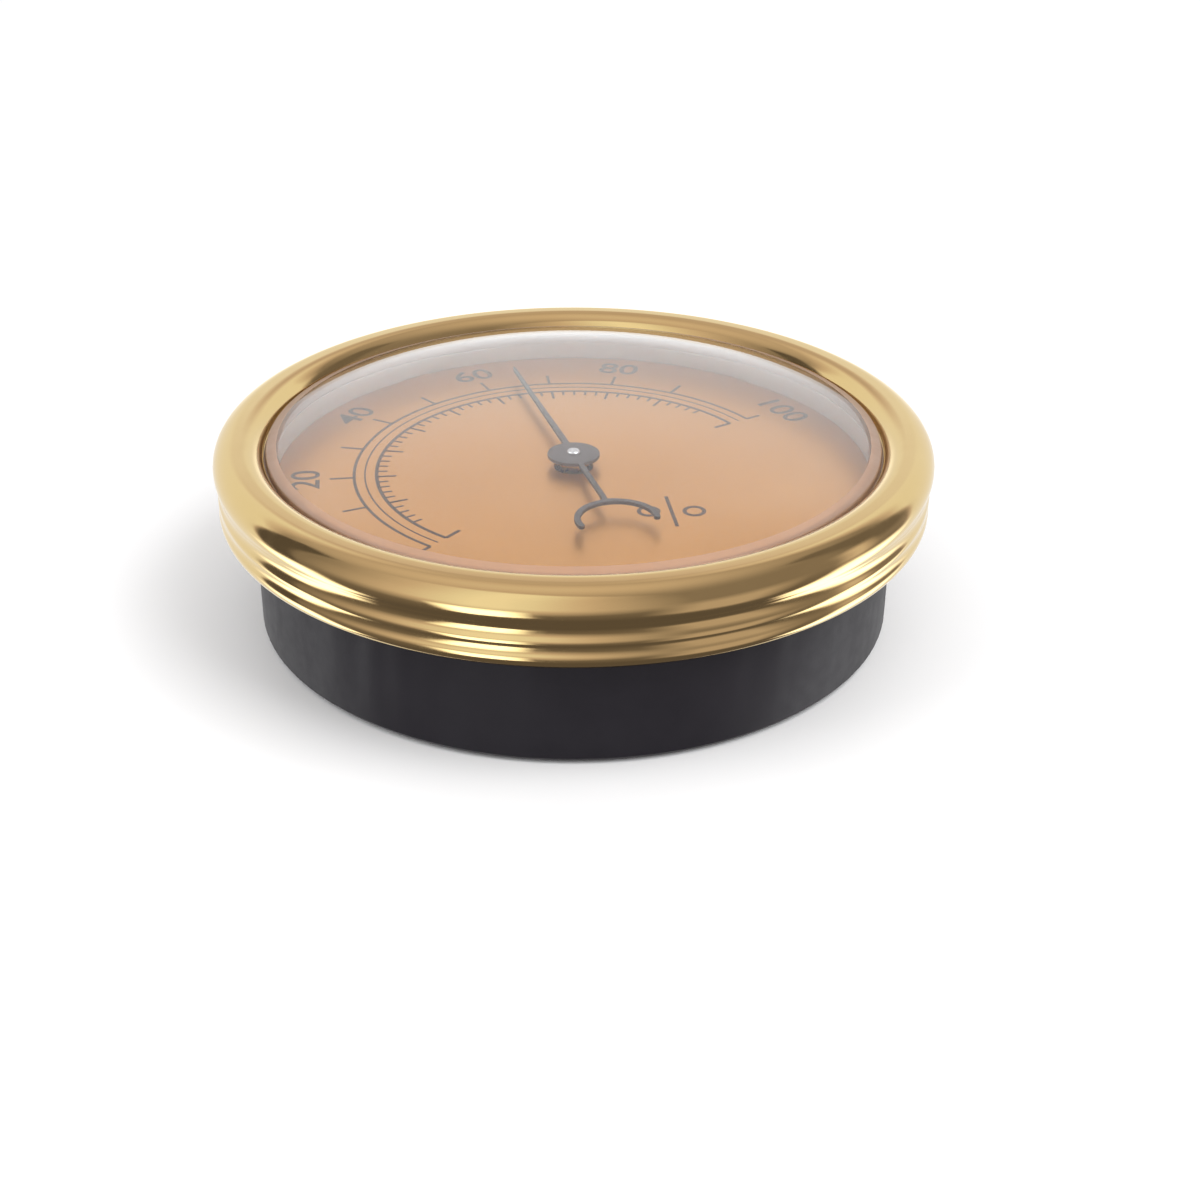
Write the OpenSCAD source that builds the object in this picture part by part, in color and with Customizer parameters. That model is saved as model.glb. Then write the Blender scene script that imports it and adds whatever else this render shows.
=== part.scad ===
// Dial hygrometer with a rolled bezel, a domed lens and a coil movement that is calibrated
// from the back. The Z axis is the pointer's axis and +Z looks out of the dial. The origin
// lies on that axis, in the plane of the bezel's underside, which sits on the panel.
// +Y is twelve o'clock on the dial.

/* [Bezel] */
// How far the beads overhang the barrel
bezel_overhang = 4; // [3.5:0.1:6]
// Width of the bezel's face, from the sight opening to the beads
face_w = 5.6; // [5:0.1:7]
// Thickness of the spun sheet
bezel_wall = 1.1; // [0.9:0.1:1.3]
// Thickness of the lip that is rolled under the case flange
lip_t = 0.8; // [0.5:0.1:1.1]
// Height of the crown above the lens's flange
crown_rise = 2.27; // [2:0.01:2.6]
// Width of the flat along the top of the crown
crown_flat = 0.75; // [0.4:0.05:1.2]
// How far the beads stand out from the crown
bead_proud = 0.25; // [0.1:0.05:0.4]
// Radius of a bead in section
bead_r = 1.05; // [0.9:0.05:1.2]
// Radius of the lip's outer side in section
lip_roll_r = 1.6; // [1.3:0.05:1.9]

/* [Lens] */
// Thickness of the clear dome
lens_t = 1; // [0.8:0.1:1.6]
// Radius of the middle of the dome
lens_mid_r = 250; // [150:5:400]
// Radius of the rounded rim of the dome
lens_rim_r = 54; // [48:1:80]
// Distance from the axis to where the rim's rounding starts
lens_mid_x = 22; // [16:0.5:26]
// Height of the dome's shoulder above the flange
shoulder_h = 0.8; // [0.6:0.1:1.2]
// Chamfer round the shoulder
lens_chamfer = 0.25; // [0.1:0.05:0.4]
// Thickness of the lens's clamped flange
lens_flange_t = 1.4; // [1:0.1:2]
// Thickness of the rubber ring under the flange
gasket_t = 2.4; // [1.8:0.1:3]

/* [Dial] */
// Thickness of the dial plate
dial_t = 0.5; // [0.3:0.1:0.8]
// Diameter of the hole for the pointer's collet
dial_hole_d = 4.4; // [4:0.1:5]
// Width of the key that keeps twelve o'clock in place
key_w = 2; // [1.5:0.1:3]

/* [Pointer] */
// Reading in per cent that the pointer stands at
reading = 65; // [0:1:100]
// Thickness of the stamping
pointer_t = 0.4; // [0.3:0.1:0.6]
// Height of the stamping above the dial
pointer_lift = 1.2; // [1.1:0.1:1.6]
// Diameter of the hub disc
hub_d = 5.9; // [5.2:0.1:7]
// Radius that the tip reaches
tip_r = 27.4; // [22:0.1:29]
// Length of the tip's taper
tip_taper = 1; // [0.5:0.1:3]
// Width of the needle at the hub
needle_root_w = 0.8; // [0.6:0.05:1.2]
// Width of the needle at the tip
needle_tip_w = 0.4; // [0.3:0.05:0.55]
// Width of the tail stem
stem_w = 0.6; // [0.5:0.05:0.8]
// Distance from the axis to the middle of the crescent
crescent_x = 16.65; // [14:0.05:20]
// Radius of the crescent at the middle of its stroke
crescent_r = 4.2; // [3:0.1:5]
// Width of the crescent's stroke
crescent_w = 0.7; // [0.5:0.05:1]
// Half of the angle that the crescent spans
crescent_half = 100; // [70:1:120]

/* [Case] */
// Diameter of the barrel that goes into the panel's hole
barrel_d = 72; // [64:0.5:90]
// Depth of the barrel behind the panel's face
barrel_depth = 13; // [12:0.5:20]
// Thickness of the barrel's wall
case_wall = 1.6; // [1.2:0.1:2.4]
// Thickness of the back
floor_t = 1.8; // [1.4:0.1:2]
// Thickness of the flange under the dial
flange_t = 1.7; // [1.2:0.1:2.4]
// Chamfer round the back edge
back_chamfer = 0.8; // [0.4:0.1:1.2]
// Number of positions round the ring of vents
vent_places = 16; // [12:2:20]
// Width of a vent
vent_w = 2.2; // [1.4:0.1:2.6]
// Radius at which the vents start
vent_in_r = 12; // [10:0.5:15]
// Radius at which the vents end
vent_out_r = 27; // [24:0.5:29]

/* [Bridge] */
// Distance from the axis to each bridge screw
screw_x = 20; // [18:0.5:24]
// Diameter of the bridge screws' shanks
screw_d = 1.8; // [1.5:0.1:2.2]
// Length of a screw below the bridge
screw_grip = 5.5; // [4:0.5:6]
// Diameter of the bosses that the screws go into
screw_boss_d = 6; // [5:0.5:7]
// Thickness of the ribs that stay the bosses
rib_t = 1.2; // [1:0.1:1.6]
// Width of the bridge
bridge_w = 8; // [7:0.5:10]
// Thickness of the bridge
bridge_t = 0.8; // [0.6:0.1:1]
// Height of the bridge's turned-up edges
fold_h = 1.2; // [0.8:0.1:1.6]

/* [Movement] */
// Diameter of the arbor
arbor_d = 1.5; // [1.2:0.1:2]
// Diameter of the arbor's rear pivot
pivot_d = 0.8; // [0.6:0.1:1]
// Width of the humidity-sensing strip
coil_w = 3.6; // [2.6:0.1:4.4]
// Thickness of the strip
coil_t = 0.25; // [0.15:0.05:0.3]
// Number of turns
coil_turns = 6.5; // [4:0.5:7]
// Radius of the outer end, at its stud
stud_x = 11; // [10:0.5:12]
// Diameter of the stud
stud_d = 1.8; // [1.5:0.1:2.4]
// Diameter of the collet on the arbor that holds the inner end
coil_collet_d = 5.6; // [5:0.1:6.4]

/* [Calibration] */
// Diameter of the slotted post
post_d = 6; // [5.4:0.1:6.8]
// Thickness of the arm
arm_t = 0.8; // [0.6:0.1:1.1]
// Height of the sprung washer
washer_h = 0.75; // [0.6:0.05:0.9]
// Thickness of the sprung washer's steel
washer_t = 0.3; // [0.2:0.05:0.4]
// Thickness of the retaining clip
clip_t = 0.5; // [0.4:0.1:0.6]
// Width of the screwdriver slot
driver_w = 0.9; // [0.7:0.1:1.2]
// Depth of the screwdriver slot
driver_depth = 0.8; // [0.5:0.1:0.8]

/* [Hidden] */
$fn = 96;
dome_fn = 1440;         // fine steps for the large circle of the dome's middle
rim_fn = 720;           // and for the circle of its rim
running = 0.04;         // radial clearance of a running fit
drop_in = 0.3;          // radial gap round what drops into the bezel
slip = 0.2;             // radial gap between the lens and the sight opening
air = 0.3;              // gap between pieces that must not rub
touch = 0.05;           // gap between faces that slide
cut = 1;                // how far a cutter runs past a face
sink = 0.5;             // how far a boss or rib reaches into its wall

// Radii that the others follow
barrel_r = barrel_d / 2;
bezel_r = barrel_r + bezel_overhang;
opening_r = bezel_r - face_w;

// Heights of the clamped stack, from the rolled lip up
flange_z = lip_t + flange_t;
dial_z = flange_z + dial_t;
gasket_z = dial_z + gasket_t;
land_z = gasket_z + lens_flange_t;
shoulder_z = land_z + shoulder_h;

// Section of the bezel
crown_out_r = bezel_r - bead_proud;
crown_roll_r = (crown_out_r - opening_r - crown_flat) / 2;
crown_x = opening_r + crown_roll_r;
crown_z = land_z + crown_rise - crown_roll_r;
cavity_r = crown_out_r - bezel_wall;
bead_x = bezel_r - bead_r;
bead_drop = 1.35;
upper_bead_z = land_z - bead_drop;
bead_lift = 2.95;
lower_bead_z = lip_t + bead_lift;
side_inset = 0.9;
side_r = bezel_r - side_inset;
lip_inset = 0.4;
lip_x = bezel_r - lip_inset - lip_roll_r;
lip_z = 1.2;
neck_r = barrel_r + lip_t;
neck_gap = 0.1;
lip_in_r = neck_r + neck_gap;

// Section of the lens
lens_r = opening_r - slip;
lens_in_r = lens_r - lens_t;
lens_flange_r = cavity_r - 2 * drop_in;
mid_tilt = asin(lens_mid_x / lens_mid_r);
rim_x = lens_mid_x - lens_rim_r * sin(mid_tilt);
rim_tilt = asin((lens_r - rim_x) / lens_rim_r);
mid_rise = lens_mid_r * (1 - cos(mid_tilt));
rim_rise = lens_rim_r * (cos(mid_tilt) - cos(rim_tilt));
dome_top = shoulder_z + rim_rise + mid_rise;
mid_z = dome_top - lens_mid_r;
rim_z = mid_z + (lens_mid_r - lens_rim_r) * cos(mid_tilt);

// Case
case_in_r = barrel_r - case_wall;
flange_r = cavity_r - drop_in;
back_z = -barrel_depth;
floor_z = back_z + floor_t;
key_l = 1.6;
key_play = 0.1;
screw_boss_r = screw_boss_d / 2;
screw_r = screw_d / 2;
rib_drop = 4;

// Calibration, from the back up
post_r = post_d / 2;
spigot_step = 0.6;
spigot_r = post_r - spigot_step;
groove_depth = 0.5;
groove_r = post_r - groove_depth;
clip_reach = 1.6;
clip_r = post_r + clip_reach;
clip_mouth = 27;
clip_notch_r = 0.7;
recess_play = 0.6;
recess_r = clip_r + recess_play;
recess_h = 1.6;
boss_wall = 1.8;
boss_r = recess_r + boss_wall;
boss_rise = 1.8;
boss_z = floor_z + boss_rise;
washer_edge = 1.2;
arm_z = boss_z + touch + washer_h;
arm_top = arm_z + arm_t;
arm_root_w = 1.4;
arm_root_r = post_r + arm_root_w;
stud_r = stud_d / 2;
arm_eye_w = 1;
arm_eye_r = stud_r + arm_eye_w;
post_end = back_z + air;
clip_z = back_z + recess_h - 2 * touch - clip_t;

// Movement, from the arm up
arbor_r = arbor_d / 2;
pivot_r = pivot_d / 2;
rear_bush_wall = 0.8;
rear_bush_r = pivot_r + rear_bush_wall;
rear_bush_l = 1.6;
well_room = 0.4;
well_depth = rear_bush_l + well_room;
coil_lift = 2;
coil_z = arm_top + coil_lift;
coil_top = coil_z + coil_w;
bridge_lift = 1;
bridge_z = coil_top + bridge_lift;
bridge_top = bridge_z + bridge_t;
collar_w = 0.55;
collar_r = arbor_r + collar_w;
collar_h = 0.6;
front_bush_wall = 1.15;
front_bush_r = arbor_r + front_bush_wall;
front_flange_w = 0.7;
front_flange_r = front_bush_r + front_flange_w;
front_flange_t = 0.4;
front_top = bridge_top + front_flange_t;

// Coil, with its outer end in the stud on the +X axis
coil_step = 10;
coil_tail = 10;
coil_collet_r = coil_collet_d / 2;
coil_gap = 0.6;
coil_in_r = coil_collet_r + coil_gap;
coil_pitch = (stud_x - coil_in_r) / coil_turns;
coil_start = -360 * coil_turns;
elbow_gap = 0.85;
elbow_in = arbor_r + elbow_gap;
pin_r = 0.2;
stud_play = 0.12;
stud_cap = 0.4;

// Bridge screws
screw_play = 0.2;
screw_hole_r = screw_r + screw_play;
screw_head_r = screw_d;
screw_head_h = 0.9;
screw_edge = 0.3;
cross_w = 0.4;
cross_l = 2.4;
cross_depth = 0.6;

// Pointer
percent_angle = 1.8;
pointer_z = dial_z + pointer_lift;
pointer_angle = (50 - reading) * percent_angle;
collet_wall = 0.75;
collet_r = arbor_r + collet_wall;
collet_flange_w = 0.8;
collet_flange_r = collet_r + collet_flange_w;
collet_flange_t = 0.4;
arbor_nose = 0.15;
arbor_rise = 0.35;
arbor_end = pointer_z + pointer_t + arbor_rise;

// A disc or tube from height z0 up to z1
module tube(r, z0, z1, bore = 0) {
    translate([0, 0, z0]) difference() {
        cylinder(r = r, h = z1 - z0);
        if (bore > 0)
            translate([0, 0, -cut]) cylinder(r = bore, h = z1 - z0 + 2 * cut);
    }
}

// A rectangle in the section plane, from radius r0 to r1 and height z0 to z1
module section(r0, r1, z0, z1) {
    translate([r0, z0]) square([r1 - r0, z1 - z0]);
}

// A copy of what follows at each bridge screw
module at_screws() {
    for (side = [0, 180]) rotate(side) translate([screw_x, 0, 0]) children();
}

// Round-shouldered section of the crown, or of its hollow for a smaller roll radius
module crown(roll_r) {
    for (x = [crown_x, crown_x + crown_flat])
        translate([x, crown_z]) circle(roll_r);
    section(crown_x, crown_x + crown_flat, crown_z - roll_r, crown_z + roll_r);
}

module bezel_outside() {
    crown(crown_roll_r);
    section(cavity_r - cut, side_r, lip_z, crown_z);
    for (z = [upper_bead_z, lower_bead_z])
        translate([bead_x, z]) circle(bead_r);
    intersection() {
        translate([lip_x, lip_z]) circle(lip_roll_r);
        section(lip_x, bezel_r, 0, land_z);
    }
    section(lip_in_r, lip_x + sink, 0, lip_t);
}

module bezel_cavity() {
    crown(crown_roll_r - bezel_wall);
    section(0, cavity_r, lip_t, land_z);
    section(0, lip_in_r, -cut, lip_t + touch);
}

module bezel() {
    color("#c9a63f") rotate_extrude() difference() {
        bezel_outside();
        bezel_cavity();
    }
}

// Half of the dome's section above height low, with its surface moved in by inset
module dome(inset, low) {
    meet_x = (lens_mid_r - inset) * sin(mid_tilt);
    intersection() {
        translate([0, mid_z]) circle(lens_mid_r - inset, $fn = dome_fn);
        section(0, meet_x, low, dome_top + cut);
    }
    intersection() {
        translate([rim_x, rim_z]) circle(lens_rim_r - inset, $fn = rim_fn);
        section(meet_x - cut, lens_r - inset, low, dome_top + cut);
    }
}

module lens_section() {
    difference() {
        dome(0, gasket_z);
        polygon([
            [lens_r + cut, shoulder_z - lens_chamfer - cut],
            [lens_r + cut, shoulder_z + 2 * cut],
            [lens_r - lens_chamfer - 2 * cut, shoulder_z + 2 * cut]
        ]);
        dome(lens_t, gasket_z - cut);
    }
    section(lens_r - sink, lens_flange_r, gasket_z, land_z);
}

module lens() {
    color([0.9, 0.95, 0.97, 0.35]) rotate_extrude() lens_section();
}

module lens_gasket() {
    color("#c9c6c8") tube(flange_r, dial_z, gasket_z, lens_in_r);
}

// Tongue on the case flange at six o'clock, and the cutter for its notch in the dial
module dial_key(play = 0, over = 0) {
    translate([-key_w / 2 - play, -flange_r - play, flange_z - sink])
        cube([key_w + 2 * play, key_l + 2 * play, sink + dial_t + over]);
}

module dial_plate() {
    color("#d9a06f") difference() {
        tube(lens_flange_r, flange_z, dial_z, dial_hole_d / 2);
        dial_key(key_play, cut);
    }
}

module case_section() {
    polygon([
        [0, back_z], [barrel_r - back_chamfer, back_z], [barrel_r, back_z + back_chamfer],
        [barrel_r, 0], [neck_r, lip_t], [flange_r, lip_t], [flange_r, flange_z],
        [case_in_r, flange_z], [case_in_r, floor_z], [0, floor_z]
    ]);
}

// Slot with round ends through the back, along +X
module vent() {
    hole_h = floor_t + 2 * cut;
    translate([0, 0, back_z - cut]) {
        for (x = [vent_in_r, vent_out_r])
            translate([x, 0, 0]) cylinder(d = vent_w, h = hole_h);
        translate([vent_in_r, -vent_w / 2, 0])
            cube([vent_out_r - vent_in_r, vent_w, hole_h]);
    }
}

// Rib from a screw boss to the wall, along +X
module boss_rib() {
    translate([0, -rib_t / 2, floor_z - sink])
        cube([case_in_r + sink - screw_x, rib_t, bridge_z - rib_drop - floor_z + sink]);
}

module case() {
    color("#1b1b1d") difference() {
        union() {
            rotate_extrude() case_section();
            tube(boss_r, floor_z - sink, boss_z);
            at_screws() {
                tube(screw_boss_r, floor_z - sink, bridge_z);
                boss_rib();
            }
            intersection() {
                dial_key();
                tube(lens_flange_r, 0, dial_z);
            }
        }
        tube(post_r + touch, back_z - cut, boss_z + cut);
        tube(recess_r, back_z - cut, back_z + recess_h);
        for (i = [0 : vent_places - 1])
            if (i % (vent_places / 2) != 0) rotate(i * 360 / vent_places) vent();
        at_screws() tube(screw_r, bridge_z - screw_grip - sink, bridge_z + cut);
    }
}

// Strap across the movement, with its edges turned up between the screws
module movement_bridge() {
    fold_x = screw_x - screw_boss_r - screw_r;
    color("#b9bcc0") difference() {
        union() {
            translate([-screw_x, -bridge_w / 2, bridge_z]) cube([2 * screw_x, bridge_w, bridge_t]);
            at_screws() tube(bridge_w / 2, bridge_z, bridge_top);
            for (y = [-bridge_w / 2, bridge_w / 2 - bridge_t])
                translate([-fold_x, y, bridge_z]) cube([2 * fold_x, bridge_t, bridge_t + fold_h]);
        }
        tube(front_bush_r, bridge_z - cut, bridge_top + cut);
        at_screws() tube(screw_hole_r, bridge_z - cut, bridge_top + cut);
    }
}

module bridge_screws() {
    edge_z = bridge_top + screw_head_h;
    color("#9fa3a8") at_screws() difference() {
        union() {
            tube(screw_r, bridge_z - screw_grip, edge_z);
            tube(screw_head_r, bridge_top, edge_z);
            translate([0, 0, edge_z])
                cylinder(r1 = screw_head_r, r2 = screw_head_r - screw_edge, h = screw_edge);
        }
        for (turn = [0, 90]) rotate(turn)
            translate([-cross_l / 2, -cross_w / 2, edge_z + screw_edge - cross_depth])
                cube([cross_l, cross_w, cross_depth + cut]);
    }
}

module front_bush() {
    color("#c8a04a") {
        tube(front_bush_r, bridge_z, bridge_top, arbor_r + running);
        tube(front_flange_r, bridge_top, front_top, arbor_r + running);
    }
}

module arbor() {
    rear = arm_top + air;
    nose_z = arbor_end - arbor_nose;
    color("#c5c8cc") {
        tube(pivot_r, arm_top - rear_bush_l + touch, rear + sink);
        tube(arbor_r, rear, nose_z);
        tube(collar_r, bridge_z - slip - collar_h, bridge_z - slip);
        translate([0, 0, nose_z])
            cylinder(r1 = arbor_r, r2 = arbor_r - arbor_nose, h = arbor_nose);
    }
}

// Crescent that balances the needle, open towards the rim
module crescent() {
    reach = 3 * crescent_r;
    end_x = sin(crescent_half);
    end_y = cos(crescent_half);
    translate([0, -crescent_x]) {
        difference() {
            circle(crescent_r + crescent_w / 2);
            circle(crescent_r - crescent_w / 2);
            polygon([
                [0, 0], reach * [-end_x, end_y], [-reach, -reach],
                [reach, -reach], reach * [end_x, end_y]
            ]);
        }
        for (side = [-1, 1])
            translate(crescent_r * [side * end_x, end_y]) circle(d = crescent_w);
    }
}

module pointer_outline() {
    difference() {
        union() {
            circle(d = hub_d);
            polygon([
                [needle_root_w / 2, 0], [needle_tip_w / 2, tip_r - tip_taper], [0, tip_r],
                [-needle_tip_w / 2, tip_r - tip_taper], [-needle_root_w / 2, 0]
            ]);
            translate([-stem_w / 2, crescent_r - crescent_x])
                square([stem_w, crescent_x - crescent_r]);
            crescent();
        }
        circle(arbor_r);
    }
}

module pointer() {
    color("#2b2b2e") rotate(pointer_angle)
        translate([0, 0, pointer_z]) linear_extrude(pointer_t) pointer_outline();
}

module pointer_collet() {
    color("#c8a04a") {
        tube(collet_r, front_top + air, pointer_z - collet_flange_t / 2, arbor_r);
        tube(collet_flange_r, pointer_z - collet_flange_t, pointer_z, arbor_r);
    }
}

// Slot in the coil's collet, wide enough for the strip's elbow and its pin
module coil_collet() {
    color("#c8a04a") difference() {
        tube(coil_collet_r, coil_z, coil_top, arbor_r);
        rotate(coil_start) translate([elbow_in, -coil_t / 2, coil_z - cut])
            cube([coil_collet_r, coil_t + 2 * pin_r, coil_w + 2 * cut]);
    }
}

module coil_pin() {
    color("#8d9095") rotate(coil_start)
        translate([(coil_collet_r + elbow_in) / 2, coil_t / 2 + pin_r, 0])
            tube(pin_r, coil_z - air, coil_top);
}

// A point on one face of the strip, at an angle counted from the stud
function coil_point(angle, side) =
    (stud_x + coil_pitch * angle / 360 + side * coil_t / 2) * [cos(angle), sin(angle)];

module hygro_coil() {
    angles = [coil_start : coil_step : coil_tail];
    outer = [for (a = angles) coil_point(a, 1)];
    inner = [for (a = angles) coil_point(a, -1)];
    color("#a9713d") translate([0, 0, coil_z]) linear_extrude(coil_w) {
        polygon(concat(outer, [for (i = [len(inner) - 1 : -1 : 0]) inner[i]]));
        rotate(coil_start) translate([elbow_in, -coil_t / 2])
            square([coil_in_r - elbow_in, coil_t]);
    }
}

module coil_stud() {
    gap_w = coil_t + 2 * stud_play;
    color("#c8a04a") translate([stud_x, 0, 0]) difference() {
        tube(stud_r, arm_z, coil_top + stud_cap);
        translate([-gap_w / 2, -stud_d, coil_z - air])
            cube([gap_w, 2 * stud_d, coil_w + air + stud_cap + cut]);
    }
}

module adjuster_arm() {
    color("#b9bcc0") translate([0, 0, arm_z]) linear_extrude(arm_t) difference() {
        union() {
            circle(arm_root_r);
            translate([stud_x, 0]) circle(arm_eye_r);
            polygon([
                [0, arm_root_r], [0, -arm_root_r], [stud_x, -arm_eye_r], [stud_x, arm_eye_r]
            ]);
        }
        circle(spigot_r);
        translate([stud_x, 0]) circle(stud_r);
    }
}

module adjuster_post() {
    color("#c8a04a") difference() {
        union() {
            tube(post_r, post_end, arm_z);
            tube(spigot_r, arm_z - sink, arm_top);
        }
        tube(rear_bush_r, arm_top - well_depth, arm_top + cut);
        tube(post_r + cut, clip_z - touch, clip_z + clip_t + touch, groove_r);
        translate([-post_r - cut, -driver_w / 2, post_end - cut])
            cube([2 * (post_r + cut), driver_w, driver_depth + cut]);
    }
}

module rear_bush() {
    color("#d8b25a") tube(rear_bush_r, arm_top - rear_bush_l, arm_top, pivot_r + running);
}

// Cone washer that loads the arm against the case
module friction_washer() {
    in_r = post_r + slip;
    out_r = boss_r - washer_edge;
    low = boss_z + touch;
    color("#9fa3a8") rotate_extrude() polygon([
        [out_r, low], [out_r, low + washer_t], [in_r, arm_z], [in_r, arm_z - washer_t]
    ]);
}

module retaining_clip() {
    mouth = 2 * clip_r * [cos(clip_mouth), sin(clip_mouth)];
    color("#9fa3a8") translate([0, 0, clip_z]) linear_extrude(clip_t) difference() {
        circle(clip_r);
        circle(groove_r);
        polygon([[0, 0], [mouth.x, -mouth.y], [mouth.x, mouth.y]]);
        for (turn = [100, 260]) rotate(turn) translate([groove_r + slip, 0]) circle(clip_notch_r);
    }
}

bezel();
lens();
lens_gasket();
dial_plate();
case();
movement_bridge();
bridge_screws();
front_bush();
arbor();
pointer();
pointer_collet();
coil_collet();
coil_pin();
hygro_coil();
coil_stud();
adjuster_arm();
adjuster_post();
rear_bush();
friction_washer();
retaining_clip();
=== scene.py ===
"""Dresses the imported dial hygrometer: gold-plated bezel, clear lens, printed dial and movement."""

import math

import bmesh
import bpy
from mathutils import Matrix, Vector


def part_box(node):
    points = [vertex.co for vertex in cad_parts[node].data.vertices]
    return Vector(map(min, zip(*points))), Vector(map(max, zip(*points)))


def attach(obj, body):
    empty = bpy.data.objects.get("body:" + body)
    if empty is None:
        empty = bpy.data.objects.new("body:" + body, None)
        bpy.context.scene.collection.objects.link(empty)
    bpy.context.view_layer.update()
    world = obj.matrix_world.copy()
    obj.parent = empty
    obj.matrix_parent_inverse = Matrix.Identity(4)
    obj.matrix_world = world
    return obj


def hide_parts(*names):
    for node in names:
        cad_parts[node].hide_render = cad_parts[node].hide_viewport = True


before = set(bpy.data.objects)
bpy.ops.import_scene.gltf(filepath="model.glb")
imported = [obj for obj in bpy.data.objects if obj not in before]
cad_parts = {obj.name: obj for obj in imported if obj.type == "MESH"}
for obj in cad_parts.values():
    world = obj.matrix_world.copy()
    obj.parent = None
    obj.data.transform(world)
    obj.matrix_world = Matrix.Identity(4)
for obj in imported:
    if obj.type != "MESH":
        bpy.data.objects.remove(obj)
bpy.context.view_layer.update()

bl_info = {
    "name": "Dial Hygrometer",
    "version": (1, 0, 0),
    "blender": (4, 5, 0),
    "location": "3D View > Sidebar > Hygrometer",
    "description": "Builds a dial hygrometer with its bezel, lens, dial, pointer and movement",
    "category": "Object",
}

MM = 0.001

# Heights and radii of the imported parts
(_, _, DIAL_TOP), (GASKET_R, _, FLANGE_LOW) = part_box("lens_gasket")
FLANGE_R, _, LENS_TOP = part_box("lens")[1]
BEZEL_R, _, BEZEL_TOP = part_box("bezel")[1]
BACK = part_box("case")[0][2]


# ---------------------------------------------------------------- colours and nodes
def linear(code):
    """Linear colour of an sRGB hex value."""
    channels = [int(code[i : i + 2], 16) / 255 for i in (1, 3, 5)]
    return [c / 12.92 if c <= 0.04045 else ((c + 0.055) / 1.055) ** 2.4 for c in channels]


def add(tree, kind, inputs=None, **settings):
    """Adds a node, with its settings and with its inputs set or linked, and returns its output."""
    node = tree.nodes.new(kind)
    for name, value in settings.items():
        setattr(node, name, value)
    for key, value in (inputs or {}).items():
        if isinstance(value, bpy.types.NodeSocket):
            tree.links.new(value, node.inputs[key])
        else:
            node.inputs[key].default_value = value
    return next((output for output in node.outputs if output.enabled), node)


# ---------------------------------------------------------------- finishes
# A grain that is as fine along each axis
EVEN = (1.0, 1.0, 1.0)
# Levels of the noise between which the roughness runs from its first value to its second
WEAR_FROM, WEAR_TO = 0.35, 0.65
# Depth of a tool mark as a share of its pitch
MARK_DEPTH = 1 / 80


def mottled(name, tones, tone_mm, gloss, gloss_mm, reliefs, rings_mm=None, **sockets):
    """A mottled material. tones and gloss are two colours and two roughnesses, which mix in
    patches tone_mm and gloss_mm wide. reliefs are grains of (size in mm, depth in mm, how much
    finer along each axis). rings_mm is the pitch of tool marks round the Z axis."""
    material = bpy.data.materials.new(name)
    material.use_nodes = True
    tree = material.node_tree
    tree.nodes.clear()
    place = add(tree, "ShaderNodeTexCoord").node.outputs["Object"]
    tone, wear = [
        add(tree, "ShaderNodeTexNoise", {"Vector": place, "Scale": 1 / (size * MM), "Detail": 3.0})
        for size in (tone_mm, gloss_mm)
    ]
    mixed = {0: tone, 6: (*tones[0], 1.0), 7: (*tones[1], 1.0)}
    colour = add(tree, "ShaderNodeMix", mixed, data_type="RGBA")
    spread = {0: wear, 1: WEAR_FROM, 2: WEAR_TO, 3: gloss[0], 4: gloss[1]}
    rough = add(tree, "ShaderNodeMapRange", spread)
    heights = []
    for size, depth, finer in reliefs:
        fitted = add(tree, "ShaderNodeMapping", {"Vector": place, "Scale": finer})
        grain = {"Vector": fitted, "Scale": 1 / (size * MM), "Detail": 2.0}
        heights.append((add(tree, "ShaderNodeTexNoise", grain), depth))
    if rings_mm:
        # The texture has a ring each 0.1 pi units of its scaled space
        marks = {"Vector": place, "Scale": 0.1 * math.pi / (rings_mm * MM)}
        waves = {"wave_type": "RINGS", "rings_direction": "SPHERICAL"}
        heights.append((add(tree, "ShaderNodeTexWave", marks, **waves), rings_mm * MARK_DEPTH))
    surface = {"Base Color": colour, "Roughness": rough, **sockets}
    for height, depth in heights:
        bumps = {"Height": height, "Distance": depth * MM}
        if "Normal" in surface:
            bumps["Normal"] = surface["Normal"]
        surface["Normal"] = add(tree, "ShaderNodeBump", bumps)
    shader = add(tree, "ShaderNodeBsdfPrincipled", surface)
    add(tree, "ShaderNodeOutputMaterial", {"Surface": shader})
    return material


def gold_plate(colours):
    """Gold plating on a steel ring that was spun, rolled and buffed: mirror bright, a little
    wavy from the spinning, with faint wipe marks that soften some of the reflections."""
    tones = (colours.gold, colours.gold_worn)
    reliefs = [(7.0, 0.02, EVEN), (0.35, 0.0006, EVEN)]
    return mottled("gold_plate_on_spun_steel", tones, 9.0, (0.07, 0.14), 2.5, reliefs, Metallic=1.0)


def clear_acrylic(colours):
    """Acrylic, injection moulded: clear, with sharp reflections and hardly a scuff."""
    sockets = {"IOR": 1.49, "Transmission Weight": 1.0, "Specular IOR Level": 0.1}
    tones = (colours.lens, colours.lens)
    reliefs = [(18.0, 0.01, EVEN)]
    return mottled("moulded_clear_acrylic", tones, 9.0, (0.0, 0.015), 3.0, reliefs, **sockets)


def matt_acrylic(colours):
    """The same acrylic on the lens's skirt, made matt and given a pale warm colour: a painted
    highlight, which shows as a pale line round the window."""
    sockets = {"IOR": 1.49, "Transmission Weight": 0.5}
    # Both tones are pale and warm to paint the highlight along the lens's edge
    tones = (colours.rim, linear("#C7A289"))
    reliefs = [(0.3, 0.004, EVEN)]
    return mottled("acrylic_skirt_painted_highlight", tones, 4.0, (0.3, 0.45), 1.0, reliefs, **sockets)


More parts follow.
